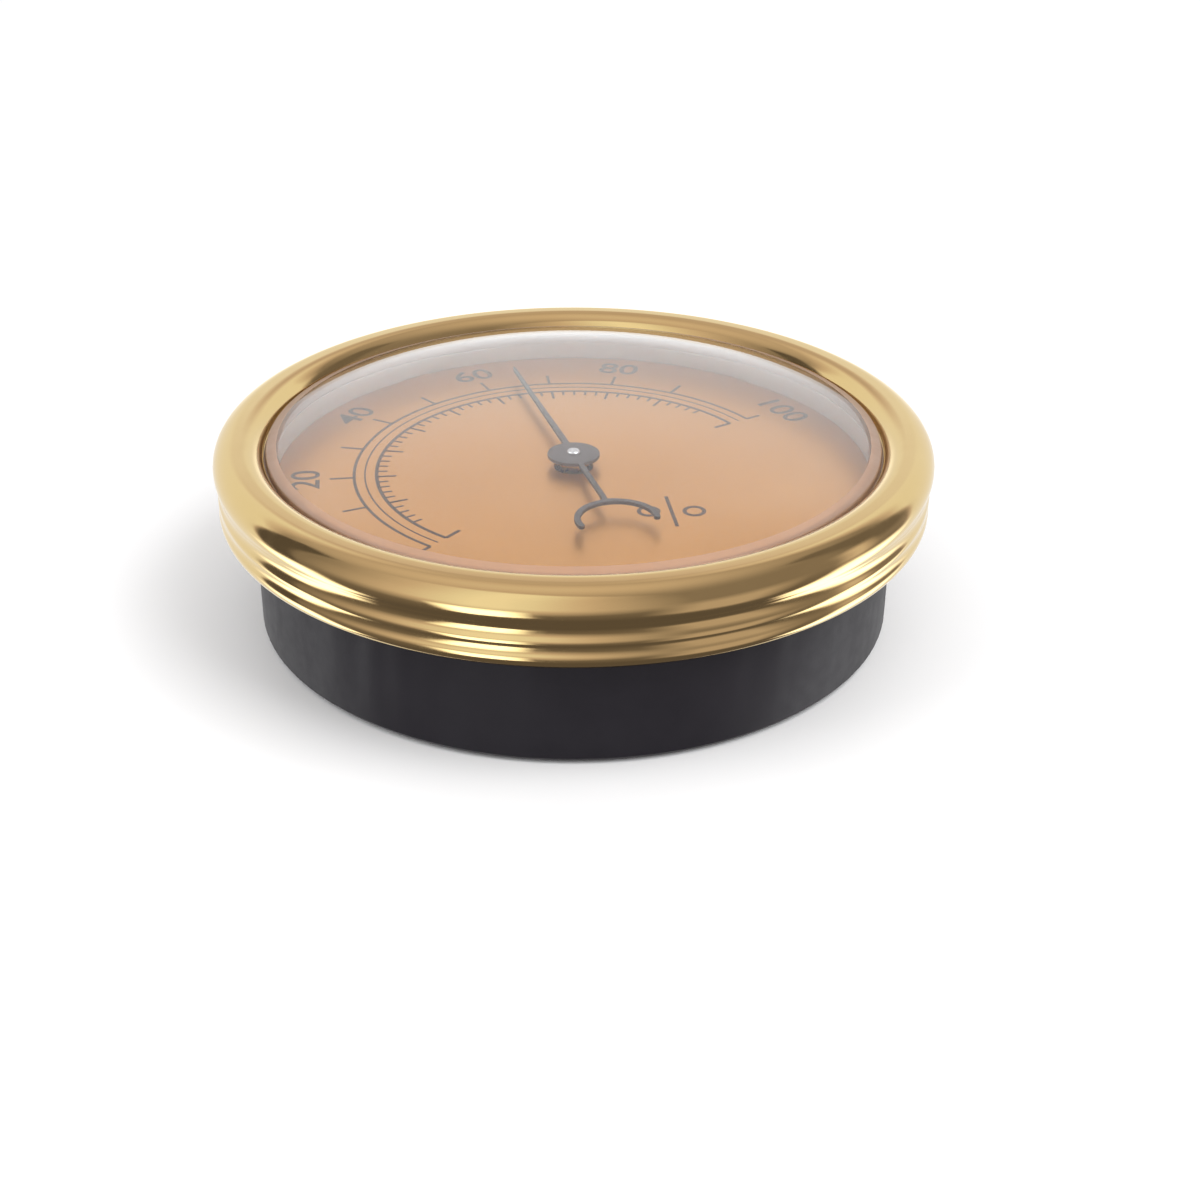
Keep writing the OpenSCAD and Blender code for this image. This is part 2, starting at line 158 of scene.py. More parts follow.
def grey_silicone(colours):
    """Silicone rubber, moulded: pale grey and a little cloudy, matt, with a dusty bloom."""
    tones = (colours.gasket, linear("#B0A39B"))
    reliefs = [(0.25, 0.006, EVEN)]
    sockets = {"IOR": 1.41, "Subsurface Weight": 0.3, "Subsurface Scale": 0.001}
    return mottled("moulded_grey_silicone", tones, 1.2, (0.5, 0.7), 0.8, reliefs, **sockets)


def copper_lacquer(colours):
    """Aluminium sheet, blasted to a satin and lacquered copper: soft reflections and a fine
    sparkle. The blasted grain is drawn at 0.18 mm so that it shows."""
    tones = (colours.dial, colours.dial_deep)
    reliefs = [(0.18, 0.004, EVEN)]
    sockets = {"Metallic": 0.9, "Coat Weight": 0.25, "Coat Roughness": 0.25}
    name = "satin_copper_lacquer_on_aluminium"
    return mottled(name, tones, 14.0, (0.4, 0.48), 0.5, reliefs, **sockets)


def screen_ink(colours):
    """Solvent ink, screen printed: near black and slightly glossy, with a mottled film."""
    tones = (colours.ink, linear("#5C4433"))
    reliefs = [(0.1, 0.002, EVEN)]
    return mottled("screen_printed_ink", tones, 0.6, (0.4, 0.55), 0.3, reliefs, IOR=1.5)


def black_paint(colours):
    """Steel stamping, sprayed satin black: a soft sheen over a fine orange peel."""
    tones = (colours.paint, linear("#403938"))
    reliefs = [(0.22, 0.004, EVEN)]
    sockets = {"IOR": 1.5, "Coat Weight": 0.1, "Coat Roughness": 0.2}
    return mottled("sprayed_satin_black_paint", tones, 1.5, (0.3, 0.42), 0.5, reliefs, **sockets)


def moulded_abs(colours):
    """ABS, injection moulded in a spark-eroded tool: charcoal black with a soft gloss. The
    texture is drawn at 0.3 mm so that it shows, over the slow waves of the moulding's flow."""
    tones = (colours.case, linear("#2B292E"))
    reliefs = [(8.0, 0.02, EVEN), (0.3, 0.004, EVEN)]
    sockets = {"IOR": 1.53, "Specular IOR Level": 0.1}
    return mottled("moulded_black_abs", tones, 6.0, (0.45, 0.49), 1.5, reliefs, **sockets)


def nickel_plate(colours):
    """Mild steel, stamped and nickel plated: a warm grey mirror, blurred by the grain of the
    rolled sheet, which runs along X."""
    tones = (colours.nickel, linear("#8F8B84"))
    reliefs = [(0.15, 0.003, (0.08, 1.0, 1.0))]
    name = "nickel_plated_stamped_steel"
    return mottled(name, tones, 2.0, (0.2, 0.34), 0.6, reliefs, Metallic=1.0)


def ground_steel(colours):
    """Carbon steel, ground and polished round its axis: bright, with fine rings."""
    tones = (colours.steel, linear("#B4B6B9"))
    reliefs = [(0.08, 0.001, (0.1, 0.1, 1.0))]
    return mottled("ground_polished_steel", tones, 0.8, (0.12, 0.22), 0.3, reliefs, Metallic=1.0)


def turned_brass(colours):
    """Free-cutting brass, turned: yellow, with tool marks 0.12 mm apart and a dull film."""
    tones = (colours.brass, linear("#9C7A35"))
    reliefs = [(0.9, 0.004, EVEN)]
    return mottled("turned_brass", tones, 1.5, (0.22, 0.36), 0.7, reliefs, 0.12, Metallic=1.0)


def coated_bronze(colours):
    """Phosphor bronze strip, rolled thin and coated with a film that takes up moisture: warm
    brown, with rolling lines along the strip."""
    tones = (colours.bronze, linear("#6E4526"))
    reliefs = [(0.12, 0.002, (0.15, 0.15, 1.0))]
    name = "coated_phosphor_bronze_strip"
    return mottled(name, tones, 1.6, (0.3, 0.5), 0.5, reliefs, Metallic=0.85)


# ---------------------------------------------------------------- meshes
# Points closer than this are one point, in metres, in new meshes and in the CAD parts
SAME_POINT, SAME_CAD_POINT = 1e-7, 1e-6
# Angles in degrees: CAD faces that differ by less than FLAT become one, faces that differ by
# less than SMOOTH are shaded as one, and a CAD part's edges over SHARP are broken
FLAT, SMOOTH, SHARP = 0.5, 30, 35


def arc(centre, radius, start, end, steps):
    """Points on an arc between two angles in degrees."""
    angles = [math.radians(start + (end - start) * i / steps) for i in range(steps + 1)]
    return [(centre[0] + radius * math.cos(a), centre[1] + radius * math.sin(a)) for a in angles]


def bearing(centre, point):
    """Angle in degrees from centre to point."""
    return math.degrees(math.atan2(point[1] - centre[1], point[0] - centre[0]))


def between(c1, d1, c2, d2):
    """The point at distance d1 from c1 and d2 from c2 that lies further out."""
    gap = math.dist(c1, c2)
    along = (gap * gap + d1 * d1 - d2 * d2) / (2 * gap)
    aside = math.sqrt(d1 * d1 - along * along)
    ux, uy = (c2[0] - c1[0]) / gap, (c2[1] - c1[1]) / gap
    foot = (c1[0] + along * ux, c1[1] + along * uy)
    return max((foot[0] - side * uy, foot[1] + side * ux) for side in (aside, -aside))


def rounded(corners, steps=6):
    """A closed outline whose corners (x, y, radius) are rounded."""
    points = []
    for i, (x, y, radius) in enumerate(corners):
        if not radius:
            points.append((x, y))
            continue
        corner = Vector((x, y))
        before = (Vector(corners[i - 1][:2]) - corner).normalized()
        after = (Vector(corners[(i + 1) % len(corners)][:2]) - corner).normalized()
        half = before.angle(after) / 2
        centre = corner + (before + after).normalized() * radius / math.sin(half)
        reach = radius / math.tan(half)
        start = bearing(centre, corner + before * reach)
        turn = (bearing(centre, corner + after * reach) - start + 180) % 360 - 180
        points += arc(centre, radius, start, start + turn, steps)
    return points


def piece(name, mesh, finish):
    """A piece at the origin with its finish, shaded smooth except at its edges."""
    mesh.materials.clear()
    mesh.materials.append(finish)
    mesh.polygons.foreach_set("use_smooth", [True] * len(mesh.polygons))
    mesh.set_sharp_from_angle(angle=math.radians(SMOOTH))
    thing = bpy.data.objects.new(name, mesh)
    bpy.context.scene.collection.objects.link(thing)
    return thing


def outward(mesh):
    """Merges doubles and turns the faces of a closed mesh outwards."""
    work = bmesh.new()
    work.from_mesh(mesh)
    bmesh.ops.remove_doubles(work, verts=work.verts, dist=SAME_POINT)
    bmesh.ops.recalc_face_normals(work, faces=work.faces)
    work.to_mesh(mesh)
    work.free()
    return mesh


def plain(thing):
    """The mesh that a new object ends up with. The object itself is removed."""
    bpy.context.scene.collection.objects.link(thing)
    bpy.context.view_layer.update()
    ready = thing.evaluated_get(bpy.context.evaluated_depsgraph_get())
    mesh = bpy.data.meshes.new_from_object(ready)
    bpy.data.objects.remove(thing)
    return mesh


def grown(source, tree, values):
    """The plain mesh that a tree makes of a source mesh. values go by the inputs' names."""
    thing = bpy.data.objects.new("source", source)
    modifier = thing.modifiers.new("grow", "NODES")
    modifier.node_group = tree
    for item in tree.interface.items_tree:
        if item.in_out == "INPUT" and item.name in values:
            modifier[item.identifier] = values[item.name]
    return plain(thing)


def new_tree(name, inputs):
    """A Geometry Nodes tree with named inputs (name: socket kind), and the sockets inside it
    that give them."""
    tree = bpy.data.node_groups.new(name, "GeometryNodeTree")
    tree.interface.new_socket("Geometry", in_out="INPUT", socket_type="NodeSocketGeometry")
    for label, kind in inputs.items():
        tree.interface.new_socket(label, in_out="INPUT", socket_type="NodeSocket" + kind)
    tree.interface.new_socket("Geometry", in_out="OUTPUT", socket_type="NodeSocketGeometry")
    return tree, tree.nodes.new("NodeGroupInput").outputs


def close_tree(tree, geometry, finish):
    """Ends a tree in Realize Instances and Set Material."""
    real = add(tree, "GeometryNodeRealizeInstances", {0: geometry})
    done = add(tree, "GeometryNodeSetMaterial", {0: real, "Material": finish})
    add(tree, "NodeGroupOutput", {0: done})


# Radius of the circle that a ring's section is swept along
PATH_R = MM


def ring_tree():
    """Sweeps a section, drawn flat with X outwards and Y up, round the Z axis."""
    tree, given = new_tree("Ring from a section", {"Segments": "Int", "Finish": "Material"})
    circle = {"Resolution": given["Segments"], "Radius": PATH_R}
    path = add(tree, "GeometryNodeCurvePrimitiveCircle", circle)
    section = add(tree, "GeometryNodeMeshToCurve", {0: given["Geometry"]})
    swept = add(tree, "GeometryNodeCurveToMesh", {0: path, 1: section})
    merged = add(tree, "GeometryNodeMergeByDistance", {0: swept, "Distance": SAME_POINT})
    close_tree(tree, merged, given["Finish"])
    return tree


def box_corners(r0, r1, z0, z1):
    """Corners of a rectangle in the section plane."""
    return [(r0, z0), (r1, z0), (r1, z1), (r0, z1)]


def ring(name, section, finish, segments, open_ends=False):
    """A piece turned round the Z axis from section points (radius, height). open_ends leaves
    out the last side, where the section starts and ends on the axis."""
    flat = bpy.data.meshes.new(name)
    last = len(section) - open_ends
    edges = [(i, (i + 1) % len(section)) for i in range(last)]
    flat.from_pydata([(x - PATH_R, -y, 0) for x, y in section], edges, [])
    tree = bpy.data.node_groups.get("Ring from a section") or ring_tree()
    mesh = grown(flat, tree, {"Segments": segments, "Finish": finish})
    return piece(name, outward(mesh), finish)


def softened(name, node, finish, width_mm):
    """A copy of a CAD part with its edges broken by a small bevel."""
    work = bmesh.new()
    work.from_mesh(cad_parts[node].data)
    bmesh.ops.remove_doubles(work, verts=work.verts, dist=SAME_CAD_POINT)
    flat = math.radians(FLAT)
    bmesh.ops.dissolve_limit(work, angle_limit=flat, verts=work.verts, edges=work.edges)
    mesh = bpy.data.meshes.new(name)
    work.to_mesh(mesh)
    work.free()
    thing = piece(name, mesh, finish)
    bevel = thing.modifiers.new("broken edges", "BEVEL")
    bevel.width = width_mm * MM
    bevel.segments = 2
    bevel.limit_method = "ANGLE"
    bevel.angle_limit = math.radians(SHARP)
    bevel.harden_normals = True
    return thing


def settle(thing, node, body, slot):
    """Puts a finished piece in a CAD part's place."""
    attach(thing, body)
    if node:
        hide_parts(node)


# ---------------------------------------------------------------- sizes and colours
def length(name, description, value_mm):
    """A property that holds a length, given here in millimetres."""
    return bpy.props.FloatProperty(
        name=name,
        description=description,
        default=value_mm * MM,
        min=0,
        unit="LENGTH",
        precision=5,
    )


def shade(name, description, code):
    """A property that holds a colour, given here as an sRGB hex value."""
    return bpy.props.FloatVectorProperty(
        name=name,
        description=description,
        default=linear(code),
        min=0,
        max=1,
        size=3,
        subtype="COLOR",
    )


class HygroSizes(bpy.types.PropertyGroup):
    """Sizes of the pieces that are shaped here"""

    opening_r: length("Opening radius", "Radius of the sight opening", 34.4)
    sheet_t: length("Sheet thickness", "Thickness of the bezel's spun sheet", 1.1)
    lip_t: length("Lip thickness", "Thickness of the lip under the case's flange", 0.8)
    lip_in_r: length("Lip radius", "Inner radius of that lip", 36.9)
    lip_back: length("Lip set-back", "How far the lip stands back from the crown", 0.24)
    lip_z: length("Lip height", "Height of the lip's widest part over the underside", 1.38)
    lip_roll_r: length("Lip roll", "Radius of the lip's outer side in section", 1.4)
    cut_edge_r: length("Cut edge", "Radius of the corners of the edge that holds the lens", 0.2)
    hem_edge_r: length("Hem edge", "Radius of the corners of the edge under the flange", 0.15)
    crown_rise: length("Crown rise", "Height of the crown over the lens's flange", 2.27)
    crown_drop: length("Crown drop", "How far the crown's top stays under its full height", 0.3)
    crown_flat: length("Crown flat", "Width of the flat along the top of the crown", 0.75)
    bead_back: length("Bead set-back", "How far the beads stand back from the crown", 0.27)
    bead_r: length("Bead radius", "Radius of a bead in section", 1.1)
    upper_bead_z: length("Upper bead", "Height of the upper bead over the underside", 5.3)
    lower_bead_z: length("Lower bead", "Height of the lower bead over the underside", 3.15)
    valley_r: length("Valley radius", "Radius between two beads in section", 2.0)
    lens_t: length("Lens thickness", "Thickness of the lens's dome", 1.0)
    lens_mid_r: length("Dome radius", "Radius of the middle of the dome", 250)
    lens_rim_r: length("Rim radius", "Radius of the rounded rim of the dome", 54)
    lens_mid_x: length("Dome middle", "Distance from the axis to the start of the rim", 22)
    dome_edge_r: length("Dome edge", "Radius of the edge between the dome and the skirt", 0.25)
    lens_gap: length("Lens gap", "Gap between the lens and the opening", 0.2)
    edge_r: length("Edge radius", "Radius of the lens's and the gasket's edges", 0.15)
    ink_t: length("Ink thickness", "Thickness of the printed film", 0.02)
    numeral_h: length("Numeral height", "Height of the dial's numerals", 3.3)


class HygroColours(bpy.types.PropertyGroup):
    """Colours of the finishes"""

    gold: shade("Gold", "Bezel plating", "#E3C98F")
    gold_worn: shade("Worn gold", "Bezel plating where it is thin", "#DEC287")
    lens: shade("Lens", "Tint of the lens", "#FAFBFC")
    # Pale warm colour of the lens's skirt: a painted highlight along the edge of the window
    rim: shade("Lens rim", "Matt skirt of the lens", "#D0B09A")
    gasket: shade("Gasket", "Silicone gasket", "#BFB1A8")
    dial: shade("Dial", "Copper lacquer", "#DEA259")
    dial_deep: shade("Deep dial", "Copper lacquer where it is thick", "#D69A51")
    ink: shade("Ink", "Printed scale", "#4E3626")
    paint: shade("Pointer paint", "Pointer", "#352E2D")
    case: shade("Case", "Moulded case", "#232126")
    nickel: shade("Nickel", "Plated steel parts", "#B9B4AB")
    steel: shade("Steel", "Arbor", "#D6D7D9")
    brass: shade("Brass", "Turned parts", "#C9A558")
    bronze: shade("Bronze", "Sensing coil", "#A06A3C")


class HYGRO_OT_bezel(bpy.types.Operator):
    """Roll the gold-plated bezel"""

    bl_idname = "hygro.bezel"
    bl_label = "Bezel"

    # Direction in degrees in which the crown's inner half starts, just over the cut edge
    RISE_FROM = 160
    SEGMENTS = 360
    # Steps of the crown's inner half, of the outer rounds and the valleys between them, and of
    # the rounds inside the sheet
    RISE_STEPS, ROUND_STEPS, VALLEY_STEPS, INSIDE_STEPS = 40, 32, 8, 12

    def execute(self, context):
        sizes = context.scene.hygro_sizes
        roll_r = (BEZEL_R - sizes.opening_r - sizes.crown_flat) / 2
        cavity_r = BEZEL_R - sizes.sheet_t
        land_z = BEZEL_TOP - sizes.crown_rise
        inner = (sizes.opening_r + roll_r, BEZEL_TOP - sizes.crown_drop - roll_r)
        outer = (inner[0] + sizes.crown_flat, inner[1])
        bead_x = BEZEL_R - sizes.bead_back - sizes.bead_r
        lip = (BEZEL_R - sizes.lip_back - sizes.lip_roll_r, sizes.lip_z)
        hollow_r = roll_r - sizes.sheet_t

        # The sheet's cut edge, which holds the lens, and the crown's inner half
        rise = arc(inner, roll_r, self.RISE_FROM, 90, self.RISE_STEPS)
        edge = [
            (sizes.opening_r + sizes.sheet_t, land_z, sizes.cut_edge_r),
            (sizes.opening_r, land_z, sizes.cut_edge_r),
            (*rise[0], 0),
        ]
        section = rounded(edge)[:-1] + rise
        # From there down the outside, with a valley between each two rounds
        rounds = [(outer, roll_r)]
        rounds += [((bead_x, z), sizes.bead_r) for z in (sizes.upper_bead_z, sizes.lower_bead_z)]
        rounds += [(lip, sizes.lip_roll_r)]
        angle = 90
        for (centre, radius), (following, next_r) in zip(rounds, rounds[1:]):
            dip = between(centre, radius + sizes.valley_r, following, next_r + sizes.valley_r)
            leave, land = bearing(centre, dip), bearing(dip, following) % 360
            section += arc(centre, radius, angle, leave, self.ROUND_STEPS)
            section += arc(dip, sizes.valley_r, leave + 180, land, self.VALLEY_STEPS)
            angle = bearing(following, dip)
        tuck = math.degrees(math.asin(lip[1] / sizes.lip_roll_r))
        section += arc(lip, sizes.lip_roll_r, angle, -tuck, self.ROUND_STEPS)
        # Back under the flange and up the inside
        hem = [(sizes.lip_in_r, z, sizes.hem_edge_r) for z in (0, sizes.lip_t)]
        section += rounded([(*section[-1], 0), *hem, (cavity_r, sizes.lip_t, 0)])[1:]
        section += arc(outer, hollow_r, 0, 90, self.INSIDE_STEPS)
        section += arc(inner, hollow_r, 90, 180, self.INSIDE_STEPS)
        gold = gold_plate(context.scene.hygro_colours)
        bezel = ring("bezel_shell", section, gold, self.SEGMENTS)
        settle(bezel, "bezel", "housing", "gold_plate")
        return {"FINISHED"}


class HYGRO_OT_lens(bpy.types.Operator):
    """Mould the clear lens and its gasket"""

    bl_idname = "hygro.lens"
    bl_label = "Lens and gasket"

    LENS_SEGMENTS, GASKET_SEGMENTS = 288, 192
    # Steps of the dome's middle and of its rim
    DOME_STEPS = 40

    def execute(self, context):
        sizes, colours = context.scene.hygro_sizes, context.scene.hygro_colours
        edge = sizes.edge_r
        lens_r = sizes.opening_r - sizes.lens_gap
        inner_r = lens_r - sizes.lens_t
        land_z = BEZEL_TOP - sizes.crown_rise
        top = self.dome(sizes, 0, lens_r)
        under = self.dome(sizes, sizes.lens_t, inner_r)[::-1]
        # The first and last corner only give the rounding its direction
        rim = [
            (*top[-2], 0),
            (*top[-1], sizes.dome_edge_r),
            (lens_r, land_z, edge),
            (FLANGE_R, land_z, edge),
            (FLANGE_R, FLANGE_LOW, edge),
            (inner_r, FLANGE_LOW, edge),
            (*under[0], edge),
            (*under[1], 0),
        ]
        section = top[:-2] + rounded(rim) + under[2:]
        clear = clear_acrylic(colours)
        lens = ring("lens_dome", section, clear, self.LENS_SEGMENTS, open_ends=True)
        # The skirt takes in the edge where the dome's underside ends
        skirt_r = inner_r - sizes.lens_gap / 2
        # Faces out past skirt_r take the pale matt material, which paints a highlight line round the
        # window
        lens.data.materials.append(matt_acrylic(colours))
        for face in lens.data.polygons:
            face.material_index = int(face.center.xy.length > skirt_r)
        settle(lens, "lens", "housing", "clear_acrylic")

        corners = [(r, z, edge) for r, z in box_corners(inner_r, GASKET_R, DIAL_TOP, FLANGE_LOW)]
        silicone = grey_silicone(colours)
        gasket = ring("gasket_ring", rounded(corners), silicone, self.GASKET_SEGMENTS)
        settle(gasket, "lens_gasket", "housing", "grey_silicone")
        return {"FINISHED"}

    def dome(self, sizes, inset, end_r):
        """Section of the dome's top, or of a surface inset below it, from the axis to end_r."""
        tilt = math.asin(sizes.lens_mid_x / sizes.lens_mid_r)
        rim_x = sizes.lens_mid_x - sizes.lens_rim_r * math.sin(tilt)
        middle = (0, LENS_TOP - sizes.lens_mid_r)
        rim = (rim_x, middle[1] + (sizes.lens_mid_r - sizes.lens_rim_r) * math.cos(tilt))
        meet = 90 - math.degrees(tilt)
        stop = math.degrees(math.acos((end_r - rim_x) / (sizes.lens_rim_r - inset)))
        points = arc(middle, sizes.lens_mid_r - inset, 90, meet, self.DOME_STEPS)
        return points + arc(rim, sizes.lens_rim_r - inset, meet, stop, self.DOME_STEPS)[1:]


def tick_tree():
    """Radial ticks at equal steps, clockwise from twelve o'clock."""
    kinds = {
        "Count": "Int",
        "Start": "Float",
        "Step": "Float",
        "Middle Radius": "Float",
        "Length": "Float",
        "Width": "Float",
        "Thickness": "Float",
        "Height": "Float",
        "Finish": "Material",
    }
    tree, given = new_tree("Ticks round a dial", kinds)
    points = add(tree, "GeometryNodeMeshLine", {"Count": given["Count"], "Offset": (0, 0, 0)})
    index = add(tree, "GeometryNodeInputIndex")
    # Rotations run the other way to the clock
    back = add(tree, "ShaderNodeMath", {0: given["Step"], 1: -1.0}, operation="MULTIPLY")
    first = add(tree, "ShaderNodeMath", {0: given["Start"], 1: -1.0}, operation="MULTIPLY")
    turn = {0: index, 1: back, 2: first}
    turn = add(tree, "ShaderNodeMath", turn, operation="MULTIPLY_ADD")
    turn = add(tree, "ShaderNodeCombineXYZ", {2: turn})
    size = {0: given["Width"], 1: given["Length"], 2: given["Thickness"]}
    bar = add(tree, "GeometryNodeMeshCube", {"Size": add(tree, "ShaderNodeCombineXYZ", size)})
    middle = add(tree, "ShaderNodeCombineXYZ", {1: given["Middle Radius"], 2: given["Height"]})
    moved = add(tree, "GeometryNodeTransform", {0: bar, "Translation": middle})
    spread = {"Points": points, "Instance": moved, "Rotation": turn}
    close_tree(tree, add(tree, "GeometryNodeInstanceOnPoints", spread), given["Finish"])
    return tree


def slab(work, outline, z0, z1):
    """Adds a flat closed plate with an outline of (x, y) points to a bmesh."""
    lower = [work.verts.new((x, y, z0)) for x, y in outline]
    upper = [work.verts.new((x, y, z1)) for x, y in outline]
    work.faces.new(lower)
    work.faces.new(upper)
    for i in range(len(outline)):
        j = (i + 1) % len(outline)
        work.faces.new([lower[i], lower[j], upper[j], upper[i]])


def band(work, radius, width, start, end, z0, z1, centre=(0, 0), steps=96):
    """Adds an arc of a ring to a bmesh, between angles in degrees clockwise from twelve o'clock."""
    closed = end - start >= 360
    section = box_corners(radius - width / 2, radius + width / 2, z0, z1)
    rows = []
    for i in range(steps + (not closed)):
        a = math.radians(start + (end - start) * i / steps)
        x, y = math.sin(a), math.cos(a)
        corners = [(centre[0] + r * x, centre[1] + r * y, z) for r, z in section]
        rows.append([work.verts.new(corner) for corner in corners])
    for i in range(steps):
        near, far = rows[i], rows[(i + 1) % len(rows)]
        for k in range(4):
            work.faces.new([near[k], near[(k + 1) % 4], far[(k + 1) % 4], far[k]])
    if not closed:
        work.faces.new(rows[0])
        work.faces.new(rows[-1])


class HYGRO_OT_dial(bpy.types.Operator):
    """Cut the dial plate and print its humidity scale"""

    bl_idname = "hygro.dial"
    bl_label = "Dial and scale"

    # Angle in degrees from twelve o'clock, which is 50 per cent, to either end of the scale, and
    # the angle for each per cent. All lengths here are in millimetres
    SCALE_END = 100
    PER_CENT = 1.8
    OUTER_R, MIDDLE_R, INNER_R = 24.6, 23.4, 22.1
    # Radius and width of each arc of the scale
    ARCS = ((OUTER_R, 0.34), (MIDDLE_R, 0.18), (INNER_R, 0.4))
    # Radii at which the outer ticks end, the fine and the long inner ticks start, and the outer
    # arc's end strokes end
    MAJOR_R, MINOR_R, LONG_R, END_R = 27.3, 20.9, 19.9, 26.5
    # Rows of ticks: count, angles of the first one and between two, inner and outer radius, width
    TICKS = (
        (9, -40 * PER_CENT, 10 * PER_CENT, OUTER_R, MAJOR_R, 0.34),
        (9, -40 * PER_CENT, 10 * PER_CENT, LONG_R, INNER_R, 0.3),
        (49, -48 * PER_CENT, 2 * PER_CENT, MINOR_R, INNER_R, 0.28),
        (2, -SCALE_END, 2 * SCALE_END, OUTER_R, END_R, 0.38),
        (2, -SCALE_END, 2 * SCALE_END, LONG_R, INNER_R, 0.4),
    )
    NUMERALS = (20, 40, 60, 80, 100)
    NUMERAL_R = 29.8
    # How far the numerals' strokes are thickened, how much wider than the font they are, and a
    # figure's height as a share of the font's size
    BOLD, WIDEN, FIGURE_SHARE = 0.03, 1.12, 0.73
    # The per cent sign's middle, and the places, radius, stroke and steps of its noughts
    SIGN_Y = -15.4
    NOUGHT_X, NOUGHT_Y, NOUGHT_R, NOUGHT_W, NOUGHT_STEPS = 1.79, 1.67, 1.05, 0.45, 40
    # The lean of the sign's bar in degrees, its length and its width
    BAR_LEAN, BAR_LENGTH, BAR_W = 54, 7.4, 0.4
    # How deep the film's underside lies in the plate, as a share of its thickness
    FILM_SINK = 0.25

    def execute(self, context):
        sizes, colours = context.scene.hygro_sizes, context.scene.hygro_colours
        plate = softened("dial_face", "dial_plate", copper_lacquer(colours), width_mm=0.06)
        settle(plate, "dial_plate", "housing", "copper_lacquer")

        ink = screen_ink(colours)
        z0 = DIAL_TOP - sizes.ink_t * self.FILM_SINK
        z1 = DIAL_TOP + sizes.ink_t
        work = bmesh.new()
        for radius, width in self.ARCS:
            band(work, radius * MM, width * MM, -self.SCALE_END, self.SCALE_END, z0, z1)
        self.sign(work, z0, z1)
        for ticks in self.ticks(ink, z0, z1):
            work.from_mesh(ticks)
        for value in self.NUMERALS:
            work.from_mesh(self.figure(value, sizes.numeral_h, z0, z1))
        bmesh.ops.recalc_face_normals(work, faces=work.faces)
        mesh = bpy.data.meshes.new("dial_print")
        work.to_mesh(mesh)
        work.free()
        settle(piece("dial_print", mesh, ink), None, "housing", "black_paint")
        return {"FINISHED"}

    def sign(self, work, z0, z1):
        """Adds the per cent sign to a bmesh: a leaning bar between two noughts."""
        for side in (-1, 1):
            centre = (side * self.NOUGHT_X * MM, (self.SIGN_Y - side * self.NOUGHT_Y) * MM)
            radius, width = self.NOUGHT_R * MM, self.NOUGHT_W * MM
            band(work, radius, width, 0, 360, z0, z1, centre, self.NOUGHT_STEPS)
        lean = math.radians(self.BAR_LEAN)
        along = Vector((math.cos(lean), math.sin(lean))) * self.BAR_LENGTH / 2
        aside = Vector((-math.sin(lean), math.cos(lean))) * self.BAR_W / 2
        middle = Vector((0, self.SIGN_Y))
        ends = ((1, 1), (-1, 1), (-1, -1), (1, -1))
        slab(work, [(middle + along * i + aside * j) * MM for i, j in ends], z0, z1)

    def ticks(self, ink, z0, z1):
        """Meshes of the ticks: each ten per cent, each two per cent, and the scale's ends."""
        tree = tick_tree()
        for count, start, step, r0, r1, width in self.TICKS:
            values = {
                "Count": count,
                "Start": math.radians(start),
                "Step": math.radians(step),
                "Middle Radius": (r0 + r1) / 2 * MM,
                "Length": (r1 - r0) * MM,
                "Width": width * MM,
                "Thickness": z1 - z0,
                "Height": (z0 + z1) / 2,
                "Finish": ink,
            }
            yield grown(bpy.data.meshes.new("ticks"), tree, values)

    def figure(self, value, height, z0, z1):
        """Mesh of a numeral, with its top outwards: the last one at the scale's end, the others
        beside their ticks."""
        text = bpy.data.curves.new("figure", "FONT")
        text.body = str(value)
        text.align_x = "CENTER"
        text.align_y = "CENTER"
        text.size = height / self.FIGURE_SHARE
        text.extrude = (z1 - z0) / 2
        text.offset = self.BOLD * MM
        mesh = plain(bpy.data.objects.new("figure", text))
        last = value == self.NUMERALS[-1]
        angle = math.radians(self.SCALE_END if last else (value - 50) * self.PER_CENT)
        cosine, sine = math.cos(angle), math.sin(angle)
        radius = self.NUMERAL_R * MM
        for vertex in mesh.vertices:
            x, y, z = vertex.co
            x *= self.WIDEN
            y += radius
            vertex.co = (x * cosine + y * sine, y * cosine - x * sine, z + (z0 + z1) / 2)
        return mesh


class HYGRO_OT_pointer(bpy.types.Operator):
    """Finish the pointer and the arbor"""

    bl_idname = "hygro.pointer"
    bl_label = "Pointer and arbor"

    def execute(self, context):
        colours = context.scene.hygro_colours
        pointer = softened("pointer_needle", "pointer", black_paint(colours), width_mm=0.06)
        settle(pointer, "pointer", "needle", "black_paint")
        arbor = softened("arbor_shaft", "arbor", ground_steel(colours), width_mm=0.05)
        settle(arbor, "arbor", "needle", "polished_steel")
        return {"FINISHED"}


class HYGRO_OT_case(bpy.types.Operator):
    """Mould the black case"""

    bl_idname = "hygro.case"
    bl_label = "Case"

    def execute(self, context):
        plastic = moulded_abs(context.scene.hygro_colours)
        case = softened("case_moulding", "case", plastic, width_mm=0.15)
        settle(case, "case", "housing", "black_plastic")
        return {"FINISHED"}


